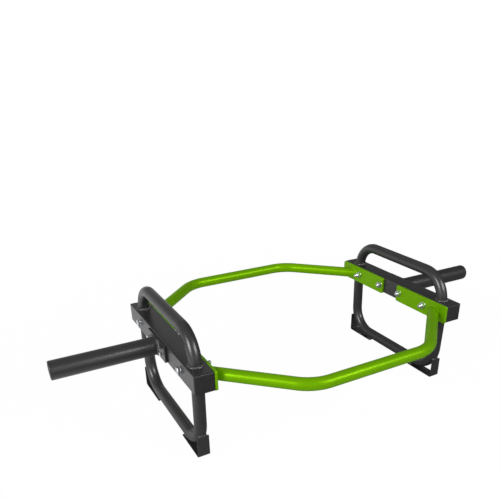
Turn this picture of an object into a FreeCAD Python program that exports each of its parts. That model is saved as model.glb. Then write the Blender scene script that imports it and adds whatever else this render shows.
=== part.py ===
"""Hex trap bar: two welded end frames joined by a bent hexagon that is bolted between them.

Each end frame is a square cross beam that carries a round plate sleeve on a flat plate outside,
a bent top handle above, and a bent stand with two angle feet below.  The hexagon is a front and
a rear tube, each bent twice and welded at both ends to mount plates.  Four bolts at each end clamp
the mount plates, the beam and the sleeve plate together.

Frame: millimetres, +Z up, origin on the floor under the middle of the bar.
+X runs along the sleeves to the right, +Y runs from the front to the rear.
"""
import FreeCAD, Part
import math
import os

from FreeCAD import Vector

# Round tube of the hexagon, the handles and the stands
tube_diameter = 31.8
tube_wall = 2.5

# Square cross beams, centre to centre
beam_width = 50.8
beam_wall = 2.5
beam_corner_radius = 2.5
beam_spacing = 777.2

# Plastic caps in the beams' ends
cap_flange = 5.0
cap_edge_round = 4.0
cap_wall = 2.0
cap_plug_depth = 16.0
cap_fin_thickness = 1.2
cap_fin_count = 3
cap_fin_height = 1.4
cap_clearance = 0.2

# Top handles: the legs still lean into the bends where they stand on the beams
handle_leg_spacing = 385.4
handle_height = 69.5
handle_bend_radius = 76.0

# Stands: the legs draw in a little towards the floor
stand_top_spacing = 392.0
stand_base_spacing = 382.0
stand_height = 186.5
stand_bend_radius = 77.0

# Angle feet of bent flat bar
foot_thickness = 2.5
foot_width = 32.0
foot_height = 60.0
foot_bend_radius = 2.5
foot_seat_length = 22.0
foot_corner_radius = 2.0

# Plate sleeves, with a shallow weld seat turned at the root
sleeve_diameter = 48.3
sleeve_wall = 3.6
sleeve_length = 258.5
sleeve_seat_step = 0.4
sleeve_drop = 1.2

# Plastic caps in the sleeves' ends
sleeve_cap_flange = 4.0
sleeve_cap_inset = 0.3
sleeve_cap_round = 2.4
sleeve_cap_depth = 22.0

# Sleeve plates on the beams' outer faces
sleeve_plate_thickness = 6.0
sleeve_plate_height = 47.0
sleeve_plate_end_margin = 18.0
sleeve_plate_corner_radius = 4.0

# Hexagon tubes: the straight runs, and where the slanted runs meet the mount plates
hexagon_straight_spacing = 737.0
hexagon_straight_length = 351.0
hexagon_entry_spacing = 389.0
hexagon_bend_radius = 106.0
hexagon_drop = 3.6

# Mount plates on the beams' inner faces
mount_plate_thickness = 7.0
mount_plate_height = 52.0
mount_plate_drop = 1.5
mount_plate_corner_radius = 5.0
mount_plate_inner_margin = 3.0
mount_plate_outer_margin = 21.5
mount_plate_inset = 1.0
plate_edge_round = 0.9

# Bolts, washers and lock nuts
bolt_diameter = 10.0
bolt_head_ledge = 3.5
bolt_head_height = 6.5
bolt_tip = 2.5
bolt_tip_chamfer = 1.0
bolt_hole_clearance = 0.5
washer_ledge = 5.0
washer_thickness = 2.0
washer_edge_round = 0.5
washer_bore_clearance = 0.4
nut_ledge = 3.5
nut_hex_height = 7.0
nut_collar_height = 3.0
nut_collar_wall = 1.8
thread_clearance = 0.1
inner_bolt_gap = 6.0
outer_bolt_gap = 3.0
bolt_turns_deg = [12, 41, 27, 4]
hex_chamfer_share = 0.96

# An edge is rounded by no more than this share of the wall that it runs along
round_limit_share = 0.8

# Weld beads: how far they spread on the flat piece, and their thickness where they run out
weld_leg = 5.0
weld_toe = 0.8
sleeve_weld_leg = 6.0
foot_weld_height = 4.0
foot_weld_width_share = 0.78

# Cuts run past the material by this much
cut_overrun = 60.0

UP = Vector(0, 0, 1)
DOWN = Vector(0, 0, -1)
RIGHT = Vector(1, 0, 0)
LEFT = Vector(-1, 0, 0)
REAR = Vector(0, 1, 0)
CENTRE = Vector(0, 0, 0)

# Sizes over the bolt's own diameter
bolt_head_flats = bolt_diameter + 2 * bolt_head_ledge
washer_diameter = bolt_diameter + 2 * washer_ledge
nut_flats = bolt_diameter + 2 * nut_ledge

# Heights, from the floor up
tube_radius = tube_diameter / 2
stand_axis_z = foot_thickness + tube_radius
beam_bottom_z = stand_axis_z + stand_height
beam_axis_z = beam_bottom_z + beam_width / 2
beam_top_z = beam_bottom_z + beam_width
handle_axis_z = beam_top_z + handle_height
sleeve_axis_z = beam_axis_z - sleeve_drop
hexagon_axis_z = beam_axis_z - hexagon_drop

# Places along X at the right end, from the inside out
beam_x = beam_spacing / 2
beam_inner_x = beam_x - beam_width / 2
mount_face_x = beam_inner_x - mount_plate_thickness
beam_outer_x = beam_x + beam_width / 2
sleeve_root_x = beam_outer_x + sleeve_plate_thickness
sleeve_end_x = sleeve_root_x + sleeve_length

# Slanted run of the hexagon, from its bend to the mount plate
hexagon_corner = Vector(hexagon_straight_length / 2, hexagon_straight_spacing / 2, hexagon_axis_z)
hexagon_entry = Vector(mount_face_x, hexagon_entry_spacing / 2, hexagon_axis_z)
hexagon_slant = (hexagon_corner - hexagon_entry).normalize()
entry_stretch = 1 / abs(hexagon_slant.x)
entry_half_length = tube_radius * entry_stretch

# Places along Y, which follow from what the bolts have to clear
inner_bolt_y = sleeve_diameter / 2 + sleeve_weld_leg + washer_diameter / 2 + inner_bolt_gap
outer_bolt_y = hexagon_entry.y - entry_half_length - weld_leg - washer_diameter / 2 - outer_bolt_gap
mount_plate_inner_y = inner_bolt_y - washer_diameter / 2 - mount_plate_inner_margin
mount_plate_outer_y = hexagon_entry.y + entry_half_length + weld_leg + mount_plate_outer_margin
beam_half_length = mount_plate_outer_y + mount_plate_inset - cap_flange
sleeve_plate_length = 2 * (inner_bolt_y + sleeve_plate_end_margin)
bolt_places_y = [-outer_bolt_y, -inner_bolt_y, inner_bolt_y, outer_bolt_y]

# All bolts are as long as the stack at the sleeve plate needs
bolt_grip = sleeve_root_x - mount_face_x + 2 * washer_thickness
bolt_length = bolt_grip + nut_hex_height + nut_collar_height + bolt_tip

# How far a handle's leg leans where it meets the beam
handle_lean = math.asin(max(handle_bend_radius - handle_height, 0) / handle_bend_radius)

# Bend of a stand's leg, in the stand's own plane
stand_lean = math.atan2((stand_top_spacing - stand_base_spacing) / 2, stand_height)
stand_bend_reach = stand_bend_radius / math.tan(math.pi / 4 + stand_lean / 2)
stand_bend_y = stand_base_spacing / 2 - stand_bend_reach
stand_bend_z = stand_axis_z + stand_bend_radius


def block(low, high):
    """Box between two opposite corners."""
    size = high - low
    return Part.makeBox(size.x, size.y, size.z, low)


def rounded_block(low, high, axis, radius):
    """Box between two corners, with the four edges along the axis rounded."""
    box = block(low, high)
    along = [edge for edge in box.Edges if edge.tangentAt(edge.FirstParameter).cross(axis).Length < 0.5]
    return box.makeFillet(radius, along)


def ring(outer_diameter, inner_diameter, length, base, axis):
    """Round tube from its base along the axis."""
    outside = Part.makeCylinder(outer_diameter / 2, length, base, axis)
    inside = Part.makeCylinder(inner_diameter / 2, length, base, axis)
    return outside.cut(inside)


def bent_path(corners, radius):
    """Wire through the corner points, with every inner corner rounded by a tangent arc."""
    edges = []
    start = corners[0]
    for before, corner, after in zip(corners, corners[1:], corners[2:]):
        back = (before - corner).normalize()
        ahead = (after - corner).normalize()
        half_angle = back.getAngle(ahead) / 2
        reach = radius / math.tan(half_angle)
        depth = radius / math.sin(half_angle) - radius
        arc_start = corner + back * reach
        arc_middle = corner + (back + ahead).normalize() * depth
        arc_end = corner + ahead * reach
        edges.append(Part.LineSegment(start, arc_start).toShape())
        edges.append(Part.Arc(arc_start, arc_middle, arc_end).toShape())
        start = arc_end
    edges.append(Part.LineSegment(start, corners[-1]).toShape())
    return Part.Wire(edges)


def mirrored_start(rear):
    """Corner points of a front-to-rear path, whose front half mirrors its rear half."""
    front = [Vector(point.x, -point.y, point.z) for point in reversed(rear)]
    return front + rear


def bent_bar(corners, bend_radius, diameter):
    """Solid round bar along a bent path."""
    circle = Part.makeCircle(diameter / 2, corners[0], corners[1] - corners[0])
    return bent_path(corners, bend_radius).makePipeShell([Part.Wire(circle)], True, False)


def bent_tube(corners, bend_radius):
    """Hollow round tube along a bent path."""
    outside = bent_bar(corners, bend_radius, tube_diameter)
    return outside.cut(bent_bar(corners, bend_radius, tube_diameter - 2 * tube_wall))


def ring_bead(bar, bar_diameter, leg, toe, base, axis):
    """Fillet weld round a bar: a cone, one leg high, that narrows from the leg to the toe."""
    radius = bar_diameter / 2
    return Part.makeCone(radius + leg, radius + toe, leg, base, axis).cut(bar)


def rounded_rims(shape, radius, wall, rims):
    """The shape with some of its edges rounded, within what the wall leaves room for."""
    return shape.makeFillet(min(radius, round_limit_share * wall), rims)


def hexagon_prism(flats, height, base, axis, turn_deg):
    """Six-sided prism on its base, turned about its axis, with its far corners chamfered."""
    corner = Vector(flats / math.sqrt(3), 0, 0)
    points = [FreeCAD.Rotation(UP, 60 * number).multVec(corner) for number in range(6)]
    prism = Part.Face(Part.makePolygon(points + points[:1])).extrude(UP * height)
    rim = hex_chamfer_share * flats / 2
    chamfer = Part.makeCone(rim + height * math.sqrt(3), rim, height, CENTRE, UP)
    prism = prism.common(chamfer)
    place = FreeCAD.Rotation(UP, axis).multiply(FreeCAD.Rotation(UP, turn_deg))
    prism.Placement = FreeCAD.Placement(base, place)
    return prism


def at_left(shape):
    """Copy of a right-end shape turned half round the upright axis, to the left end."""
    copy = shape.copy()
    copy.rotate(CENTRE, UP, 180)
    return copy


def at_front(shape):
    """Mirror copy of a rear shape on the front side."""
    return shape.mirror(CENTRE, REAR)


def bolt_holes():
    """Round cutters for the four bolts of one end, through the plates and the beam."""
    radius = bolt_diameter / 2 + bolt_hole_clearance
    start_x = mount_face_x - cut_overrun
    length = sleeve_root_x + cut_overrun - start_x
    starts = [Vector(start_x, y, beam_axis_z) for y in bolt_places_y]
    return [Part.makeCylinder(radius, length, start, RIGHT) for start in starts]


def square_layer(half, near_y, far_y, radius):
    """Square bar between two places along Y, centred on the beam's axis, with rounded edges."""
    low = Vector(beam_x - half, near_y, beam_axis_z - half)
    high = Vector(beam_x + half, far_y, beam_axis_z + half)
    return rounded_block(low, high, REAR, radius)


def make_beam():
    """Square tube along Y, drilled through both sides for the bolts."""
    half = beam_width / 2
    inner_radius = max(beam_corner_radius - beam_wall, beam_wall / 4)
    outside = square_layer(half, -beam_half_length, beam_half_length, beam_corner_radius)
    inside = square_layer(half - beam_wall, -beam_half_length, beam_half_length, inner_radius)
    return outside.cut(inside).cut(bolt_holes())


def make_beam_cap():
    """Square plastic cap: a flange on the beam's end, and a hollow finned plug inside it."""
    seat_y = beam_half_length
    face_y = seat_y + cap_flange
    flange = square_layer(beam_width / 2, seat_y, face_y, beam_corner_radius)
    outer_rim = [edge for edge in flange.Edges if edge.BoundBox.YMin > face_y - cap_flange / 2]
    flange = rounded_rims(flange, cap_edge_round, cap_flange, outer_rim)
    fin_half = beam_width / 2 - beam_wall - cap_clearance
    plug_half = fin_half - cap_fin_height
    tip_y = seat_y - cap_plug_depth
    plug = square_layer(plug_half, tip_y, seat_y, cap_wall)
    fins = []
    for number in range(1, cap_fin_count + 1):
        fin_y = seat_y - number * cap_plug_depth / (cap_fin_count + 1)
        fins.append(square_layer(fin_half, fin_y, fin_y + cap_fin_thickness, cap_wall))
    hollow = square_layer(plug_half - cap_wall, tip_y - cut_overrun, seat_y, cap_wall / 2)
    return flange.fuse([plug] + fins).cut(hollow).removeSplitter()


def leg_welds(bar, leg_spacing, height, axis):
    """Bead round each of the two legs that a bent bar stands on the beam with."""
    feet = [Vector(beam_x, side * leg_spacing / 2, height) for side in (-1, 1)]
    return Part.Compound([ring_bead(bar, tube_diameter, weld_leg, weld_toe, foot, axis) for foot in feet])


def handle_corners():
    """Corner points of the handle, whose leaning legs run on past the beam's top."""
    foot = Vector(beam_x, handle_leg_spacing / 2, beam_top_z)
    top = Vector(beam_x, foot.y - handle_height * math.tan(handle_lean), handle_axis_z)
    return mirrored_start([top, foot + (foot - top).normalize() * cut_overrun])


def above_beam():
    """Room above the beam that the handle fills."""
    reach_x = tube_radius + cut_overrun
    reach_y = handle_leg_spacing / 2 + cut_overrun
    top_z = handle_axis_z + tube_radius + cut_overrun
    return block(Vector(beam_x - reach_x, -reach_y, beam_top_z), Vector(beam_x + reach_x, reach_y, top_z))


def make_handle():
    """Bent tube that stands on the beam's top face, its legs cut off level with it."""
    return bent_tube(handle_corners(), handle_bend_radius).common(above_beam())


def stand_corners():
    """Corner points of the stand, whose leaning legs run on past the beam's underside."""
    base = Vector(beam_x, stand_base_spacing / 2, stand_axis_z)
    top = Vector(beam_x, stand_top_spacing / 2, beam_bottom_z)
    return mirrored_start([base, top + (top - base).normalize() * cut_overrun])


def below_beam():
    """Room under the beam that the stand fills."""
    reach_x = tube_radius + cut_overrun
    reach_y = stand_top_spacing / 2 + cut_overrun
    return block(Vector(beam_x - reach_x, -reach_y, 0), Vector(beam_x + reach_x, reach_y, beam_bottom_z))


def make_stand():
    """Bent tube that carries the beam, its legs cut off level with the beam's underside."""
    return bent_tube(stand_corners(), stand_bend_radius).common(below_beam())


def foot_inner_face_y():
    """Where the upright of the foot touches the outside of the stand's bend with its top edge."""
    drop = max(stand_bend_z - foot_height, 0)
    return stand_bend_y + math.sqrt((stand_bend_radius + tube_radius) ** 2 - drop**2)


def make_foot():
    """Flat bar bent to an angle: the upright stands outside the bend, the sole lies under the tube."""
    toe_y = stand_bend_y - foot_seat_length
    inner_y = foot_inner_face_y()
    outer_y = inner_y + foot_thickness
    edge_x = beam_x - foot_width / 2
    outside = bent_path(
        [Vector(edge_x, toe_y, 0), Vector(edge_x, outer_y, 0), Vector(edge_x, outer_y, foot_height)],
        foot_bend_radius + foot_thickness,
    )
    inside = bent_path(
        [
            Vector(edge_x, toe_y, foot_thickness),
            Vector(edge_x, inner_y, foot_thickness),
            Vector(edge_x, inner_y, foot_height),
        ],
        foot_bend_radius,
    )
    toe_end = Part.LineSegment(Vector(edge_x, toe_y, 0), Vector(edge_x, toe_y, foot_thickness)).toShape()
    top_low = Vector(edge_x, inner_y, foot_height)
    top_end = Part.LineSegment(top_low, top_low + REAR * foot_thickness).toShape()
    outline = Part.Wire(Part.sortEdges(outside.Edges + inside.Edges + [toe_end, top_end])[0])
    foot = Part.Face(outline).extrude(RIGHT * foot_width)
    ends = [
        edge
        for edge in foot.Edges
        if isinstance(edge.Curve, Part.Line) and math.isclose(edge.Length, foot_thickness, rel_tol=0.01)
    ]
    return foot.makeFillet(foot_corner_radius, ends)


def make_foot_welds(stand_bar):
    """Beads of one foot: one over the upright's top edge, and one along each side of the sole's seat."""
    half = tube_radius * foot_weld_width_share
    inner_y = foot_inner_face_y()
    toe_y = stand_bend_y - foot_seat_length
    top_bead = block(
        Vector(beam_x - half, inner_y, foot_height),
        Vector(beam_x + half, inner_y + foot_thickness, foot_height + foot_weld_height),
    )
    beads = [top_bead.cut(stand_bar)]
    for low_x, high_x in [(beam_x - half, beam_x), (beam_x, beam_x + half)]:
        low = Vector(low_x, toe_y, foot_thickness)
        high = Vector(high_x, stand_bend_y, foot_thickness + foot_weld_height)
        beads.append(block(low, high).cut(stand_bar))
    return Part.Compound(beads)


def make_sleeve():
    """Round tube that takes the weight plates, turned down at its root for the weld."""
    root = Vector(sleeve_root_x, 0, sleeve_axis_z)
    shoulder = Vector(sleeve_root_x + sleeve_weld_leg, 0, sleeve_axis_z)
    seat_diameter = sleeve_diameter - 2 * sleeve_seat_step
    bore_diameter = sleeve_diameter - 2 * sleeve_wall
    wall = Part.makeCylinder(sleeve_diameter / 2, sleeve_length - sleeve_weld_leg, shoulder, RIGHT)
    seat = Part.makeCylinder(seat_diameter / 2, sleeve_weld_leg, root, RIGHT)
    bore = Part.makeCylinder(bore_diameter / 2, sleeve_length, root, RIGHT)
    return wall.fuse(seat).cut(bore)


def make_sleeve_weld():
    """Bead round the sleeve's root, trimmed to the height of the sleeve plate."""
    half = sleeve_plate_height / 2
    root = Vector(sleeve_root_x, 0, sleeve_axis_z)
    seat_diameter = sleeve_diameter - 2 * sleeve_seat_step
    seat = Part.makeCylinder(seat_diameter / 2, sleeve_weld_leg, root, RIGHT)
    bead = ring_bead(seat, seat_diameter, sleeve_weld_leg, sleeve_seat_step, root, RIGHT)
    reach = sleeve_diameter / 2 + sleeve_weld_leg
    room = block(
        Vector(sleeve_root_x, -reach, sleeve_axis_z - half),
        Vector(sleeve_root_x + sleeve_weld_leg, reach, sleeve_axis_z + half),
    )
    return bead.common(room)


def make_sleeve_cap():
    """Round plastic cap: a flange with a soft rim on the sleeve's end, and a hollow finned plug."""
    seat = Vector(sleeve_end_x, 0, sleeve_axis_z)
    flange = Part.makeCylinder(sleeve_diameter / 2 - sleeve_cap_inset, sleeve_cap_flange, seat, RIGHT)
    outer_rim = [edge for edge in flange.Edges if edge.BoundBox.XMin > sleeve_end_x + sleeve_cap_flange / 2]
    flange = rounded_rims(flange, sleeve_cap_round, sleeve_cap_flange, outer_rim)
    fin_diameter = sleeve_diameter - 2 * (sleeve_wall + cap_clearance)
    plug_diameter = fin_diameter - 2 * cap_fin_height
    hollow_diameter = plug_diameter - 2 * cap_wall
    pieces = [Part.makeCylinder(plug_diameter / 2, sleeve_cap_depth, seat, LEFT)]
    for number in range(1, cap_fin_count + 1):
        fin_base = seat + LEFT * (number * sleeve_cap_depth / (cap_fin_count + 1))
        pieces.append(Part.makeCylinder(fin_diameter / 2, cap_fin_thickness, fin_base, RIGHT))
    hollow = Part.makeCylinder(hollow_diameter / 2, sleeve_cap_depth, seat, LEFT)
    return flange.fuse(pieces).cut(hollow).removeSplitter()


def make_plate(low, high, corner_radius):
    """Flat plate facing along X, with rounded corners, eased edges and bolt holes."""
    plate = rounded_block(low, high, RIGHT, corner_radius)
    thickness = high.x - low.x
    rims = [edge for edge in plate.Edges if edge.BoundBox.XLength < thickness / 2]
    return rounded_rims(plate, plate_edge_round, thickness / 2, rims).cut(bolt_holes())


def make_sleeve_plate():
    """Flat plate on the beam's outer face that carries the sleeve, held by the two inner bolts."""
    half_length = sleeve_plate_length / 2
    half_height = sleeve_plate_height / 2
    return make_plate(
        Vector(beam_outer_x, -half_length, sleeve_axis_z - half_height),
        Vector(sleeve_root_x, half_length, sleeve_axis_z + half_height),
        sleeve_plate_corner_radius,
    )


def make_mount_plate():
    """Rear mount plate on the beam's inner face, welded to the hexagon's tube."""
    half_height = mount_plate_height / 2
    plate_axis_z = beam_axis_z - mount_plate_drop
    return make_plate(
        Vector(mount_face_x, mount_plate_inner_y, plate_axis_z - half_height),
        Vector(beam_inner_x, mount_plate_outer_y, plate_axis_z + half_height),
        mount_plate_corner_radius,
    )


def hexagon_corners():
    """Corner points of the rear hexagon tube, whose ends run on past the mount plates."""
    end = hexagon_entry - hexagon_slant * cut_overrun
    right = [hexagon_corner, end]
    left = [Vector(-point.x, point.y, point.z) for point in reversed(right)]
    return left + right


def make_hexagon_tube():
    """Rear tube of the hexagon, its slanted ends cut to lie flat on the mount plates."""
    reach = hexagon_straight_spacing + cut_overrun
    reach_z = tube_radius + cut_overrun
    room = block(
        Vector(-mount_face_x, 0, hexagon_axis_z - reach_z),
        Vector(mount_face_x, reach, hexagon_axis_z + reach_z),
    )
    return bent_tube(hexagon_corners(), hexagon_bend_radius).common(room)


def entry_oval(centre, margin):
    """Oval round the slanted tube in a plane square to X, with a margin outside the tube."""
    along = centre + REAR * (entry_half_length + margin)
    across = centre + UP * (tube_radius + margin)
    return Part.Wire(Part.Ellipse(along, across, centre).toShape())


def make_hexagon_weld(hexagon_bar):
    """Bead round the slanted tube on the rear mount plate, between a wide oval and a tight one."""
    top = hexagon_entry + hexagon_slant * (weld_leg * entry_stretch)
    body = Part.makeLoft([entry_oval(hexagon_entry, weld_leg), entry_oval(top, weld_toe)], True, True)
    return body.cut(hexagon_bar)


def head_seat_x(y):
    """Outer face that the head's washer lies on: the sleeve plate near the sleeve, else the beam."""
    return sleeve_root_x if abs(y) < sleeve_plate_length / 2 else beam_outer_x


def make_bolts():
    """Hexagon-head bolts with their heads outside, through the sleeve plate, beam and mount plate."""
    bolts = []
    for y, turn_deg in zip(bolt_places_y, bolt_turns_deg):
        under_head = Vector(head_seat_x(y) + washer_thickness, y, beam_axis_z)
        tip_x = under_head.x - bolt_length
        shank = Part.makeCylinder(bolt_diameter / 2, bolt_length, under_head, LEFT)
        tip_rim = [edge for edge in shank.Edges if edge.BoundBox.XMax < tip_x + bolt_tip]
        shank = shank.makeChamfer(bolt_tip_chamfer, tip_rim)
        head = hexagon_prism(bolt_head_flats, bolt_head_height, under_head, RIGHT, turn_deg)
        bolts.append(shank.fuse(head))
    return Part.Compound(bolts)


def make_washer(base, axis):
    """Flat washer with eased edges on its free side."""
    bore = bolt_diameter + 2 * washer_bore_clearance
    washer = ring(washer_diameter, bore, washer_thickness, base, axis)
    free_x = (base + axis * washer_thickness).x
    near = washer_thickness / 4
    free_edges = [edge for edge in washer.Edges if abs(edge.BoundBox.Center.x - free_x) < near]
    outer_rim = max(free_edges, key=lambda edge: edge.Length)
    return rounded_rims(washer, washer_edge_round, washer_thickness, [outer_rim])


def make_head_washers():
    """Washers under the bolt heads, on the beam and the sleeve plate."""
    seats = [Vector(head_seat_x(y), y, beam_axis_z) for y in bolt_places_y]
    return Part.Compound([make_washer(seat, RIGHT) for seat in seats])


def make_nut_washers():
    """Washers under the nuts, on the mount plates."""
    seats = [Vector(mount_face_x, y, beam_axis_z) for y in bolt_places_y]
    return Part.Compound([make_washer(seat, LEFT) for seat in seats])


def make_lock_nuts():
    """Lock nuts: a chamfered hexagon with a round collar for the locking ring."""
    nuts = []
    bore_radius = bolt_diameter / 2 + thread_clearance
    height = nut_hex_height + nut_collar_height
    for y, turn_deg in zip(reversed(bolt_places_y), bolt_turns_deg):
        base = Vector(mount_face_x - washer_thickness, y, beam_axis_z)
        body = hexagon_prism(nut_flats, nut_hex_height, base, LEFT, turn_deg)
        collar = Part.makeCylinder(bore_radius + nut_collar_wall, height, base, LEFT)
        bore = Part.makeCylinder(bore_radius, height, base, LEFT)
        nuts.append(body.fuse(collar).cut(bore))
    return Part.Compound(nuts)


def write_node(name, shape):
    """One file for each node, named as the node is."""
    shape.exportStep("parts/" + name + ".step")


def write_both_ends(name, shape):
    """The right-end piece, and its copy at the left end."""
    write_node("right_" + name, shape)
    write_node("left_" + name, at_left(shape))


def write_four_corners(name, rear_right):
    """The rear right piece, and its copies at the other three corners."""
    front_right = at_front(rear_right)
    write_node("rear_right_" + name, rear_right)
    write_node("front_right_" + name, front_right)
    write_node("front_left_" + name, at_left(rear_right))
    write_node("rear_left_" + name, at_left(front_right))


os.makedirs("parts", exist_ok=True)
handle_bar = bent_bar(handle_corners(), handle_bend_radius, tube_diameter)
stand_bar = bent_bar(stand_corners(), stand_bend_radius, tube_diameter)
hexagon_bar = bent_bar(hexagon_corners(), hexagon_bend_radius, tube_diameter)
rear_hexagon_tube = make_hexagon_tube()

write_node("rear_hexagon_tube", rear_hexagon_tube)
write_node("front_hexagon_tube", at_left(rear_hexagon_tube))
write_four_corners("mount_plate", make_mount_plate())
write_four_corners("hexagon_weld", make_hexagon_weld(hexagon_bar))
write_both_ends("beam", make_beam())
write_four_corners("beam_cap", make_beam_cap())
write_both_ends("handle", make_handle())
write_both_ends("handle_welds", leg_welds(handle_bar, handle_leg_spacing, beam_top_z, UP))
write_both_ends("stand", make_stand())
write_both_ends("stand_welds", leg_welds(stand_bar, stand_top_spacing, beam_bottom_z, DOWN))
write_four_corners("foot", make_foot())
write_four_corners("foot_welds", make_foot_welds(stand_bar))
write_both_ends("sleeve", make_sleeve())
write_both_ends("sleeve_cap", make_sleeve_cap())
write_both_ends("sleeve_plate", make_sleeve_plate())
write_both_ends("sleeve_weld", make_sleeve_weld())
write_both_ends("bolts", make_bolts())
write_both_ends("head_washers", make_head_washers())
write_both_ends("nut_washers", make_nut_washers())
write_both_ends("lock_nuts", make_lock_nuts())
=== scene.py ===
"""Looks of a hex trap bar: powder coated tubes and plates, moulded caps and zinc plated bolts.

Each finished piece is a closed surface worked out on a grid, in metres, at its place in the frame.
Shapes are worked out for the right end, or its rear corner, and turned or mirrored to the others.
"""
import math
from collections import namedtuple

import bpy
import numpy as np
from mathutils import Matrix, Vector


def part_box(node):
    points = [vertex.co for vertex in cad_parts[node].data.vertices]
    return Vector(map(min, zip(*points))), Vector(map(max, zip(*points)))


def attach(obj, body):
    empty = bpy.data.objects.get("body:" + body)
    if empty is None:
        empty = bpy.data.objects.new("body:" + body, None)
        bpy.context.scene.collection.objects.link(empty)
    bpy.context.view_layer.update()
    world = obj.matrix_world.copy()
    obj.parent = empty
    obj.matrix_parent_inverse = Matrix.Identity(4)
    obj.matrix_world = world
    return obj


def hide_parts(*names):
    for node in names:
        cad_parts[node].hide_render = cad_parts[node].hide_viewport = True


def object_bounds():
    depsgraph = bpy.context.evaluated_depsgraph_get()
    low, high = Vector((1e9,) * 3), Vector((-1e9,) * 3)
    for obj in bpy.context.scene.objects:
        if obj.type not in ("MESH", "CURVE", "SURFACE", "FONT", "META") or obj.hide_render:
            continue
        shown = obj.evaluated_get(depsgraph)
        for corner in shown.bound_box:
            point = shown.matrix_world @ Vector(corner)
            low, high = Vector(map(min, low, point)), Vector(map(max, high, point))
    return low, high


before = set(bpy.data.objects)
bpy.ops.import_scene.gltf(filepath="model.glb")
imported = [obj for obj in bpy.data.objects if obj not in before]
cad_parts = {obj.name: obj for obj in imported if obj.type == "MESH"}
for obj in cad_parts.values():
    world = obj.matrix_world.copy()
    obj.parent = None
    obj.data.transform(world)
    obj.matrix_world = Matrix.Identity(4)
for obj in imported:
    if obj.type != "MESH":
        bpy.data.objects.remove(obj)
cad_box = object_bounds()

# Camera: the eye's place, the way it looks, its lens and the shift of its frame
eye_place = (-0.7696, -1.2276, 0.8677)
look_turn_deg = -29.97
look_down_deg = 26.24
look_roll_deg = -0.17
lens_mm = 38.94
sensor_mm = 36.0
frame_shift = (-0.0535, 0.1699)

# Bends of the tubes, which the frame's boxes don't give
handle_bend_radius = 0.076
stand_draw_in = 0.005
stand_bend_radius = 0.077
hexagon_straight_length = 0.351
hexagon_entry_spacing = 0.389
hexagon_bend_radius = 0.106
bend_flattening = 0.022

# Beams, caps and plates
beam_corner_radius = 0.0025
beam_end_ease = 0.0008
cap_flange = 0.005
cap_edge_round = 0.004
cap_crown = 0.0005
cap_face_reach = 0.9
cap_seam = 0.00025
sleeve_end_ease = 0.0004
sleeve_cap_round = 0.0024
sleeve_cap_crown = 0.0004
sleeve_cap_face = (0.86, 0.04)
sleeve_cap_groove = 0.0007
sleeve_cap_groove_place = 0.72
sleeve_cap_groove_width = 0.035
plate_edge_round = 0.0009
sleeve_plate_corner_radius = 0.004
mount_plate_corner_radius = 0.005
mount_plate_inner_margin = 0.003

# Angle feet
foot_thickness = 0.0025
foot_bend_radius = 0.0025
foot_corner_radius = 0.002
foot_edge_round = 0.0005
foot_seat_length = 0.022

# Bolts, washers and lock nuts
bolt_radius = 0.005
bolt_head_flats = 0.017
bolt_head_height = 0.0065
bolt_tip = 0.0025
bolt_tip_chamfer = 0.001
thread_pitch = 0.0015
thread_depth = 0.0008
thread_length = 0.02
thread_clearance = 0.0001
hex_chamfer_share = 0.96
washer_bore_clearance = 0.0004
washer_edge_round = 0.0005
nut_flats = 0.017
nut_hex_height = 0.007
nut_collar_height = 0.003
nut_collar_wall = 0.0018
nut_collar_round = 0.0012
nut_lip_share = 0.25
nut_lip_depth = 0.001
bolt_turns_deg = (12, 41, 27, 4)
nut_turns_per_bolt_turn = -2

# Weld beads: their sizes, their slow waves and their ripples
weld_leg = 0.005
sleeve_weld_leg = 0.006
sleeve_weld_least = 0.0006
foot_weld_rise = 0.004
foot_weld_width_share = 0.78
foot_weld_climb = (0.0, 0.38, 0.92)
foot_weld_ripples = 8
foot_weld_least_taper = 0.02
seat_weld_reach = 0.42
seat_weld_splay = 0.4
bead_fullness = 1.35
bead_unevenness = 0.06
bead_slow_waves = 3
bead_quick_waves = 7
bead_quick_share = 0.6
ripple_pitch = 0.0034
ripple_depth = 0.16
ripple_curl = 0.45

# Where the waves of each bead start, as an angle; on a leg it follows the leg's place
leg_bead_start_per_metre = 40.0
sleeve_bead_start = 1.0
hexagon_bead_start = 2.0
foot_bead_start = 0.5

# How much of a rim a place is, from nought to one, where it isn't a whole one
seam_rim = 0.2
hex_face_rim = 0.3
under_head_rim = 0.4
washer_bore_rim = 0.4
thread_crest_rim = 0.5
# On weld ripple crests this rim value pales the coat: partly thinner powder, partly a painted
# highlight
bead_crest_thin_coat_and_highlight = 0.5
nut_lip_rim = 0.6
foot_edge_rim = 0.6

# Pieces reach this far into what they stand on, so that no gap shows
sink = 0.0004

# Fineness of the grids; a support row, this far from a round edge, keeps the flat beside it flat
tube_columns = 72
bend_steps = 28
round_columns = 96
hex_columns = 60
arc_steps = 6
cap_face_rows = 9
sleeve_cap_face_rows = 34
foot_corner_rows = 9
thread_rows = 8
bead_steps = 12
ripple_samples = 9
support = 0.0012
support_share = 0.4
least_corner_share = 0.05
least_slope = 0.1
sharp_angle_deg = 34

UP = np.array([0.0, 0.0, 1.0])
RIGHT = np.array([1.0, 0.0, 0.0])
REAR = np.array([0.0, 1.0, 0.0])
SIDES = {"right": (1, 1, 1), "left": (-1, -1, 1)}
CORNERS = {
    "rear_right": (1, 1, 1),
    "front_right": (1, -1, 1),
    "front_left": (-1, -1, 1),
    "rear_left": (-1, 1, 1),
}

Shell = namedtuple("Shell", "grid rim ring")


def span(node):
    """Lowest and highest corner of a node's box, in metres."""
    low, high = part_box(node)
    return np.array(low), np.array(high)


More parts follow.
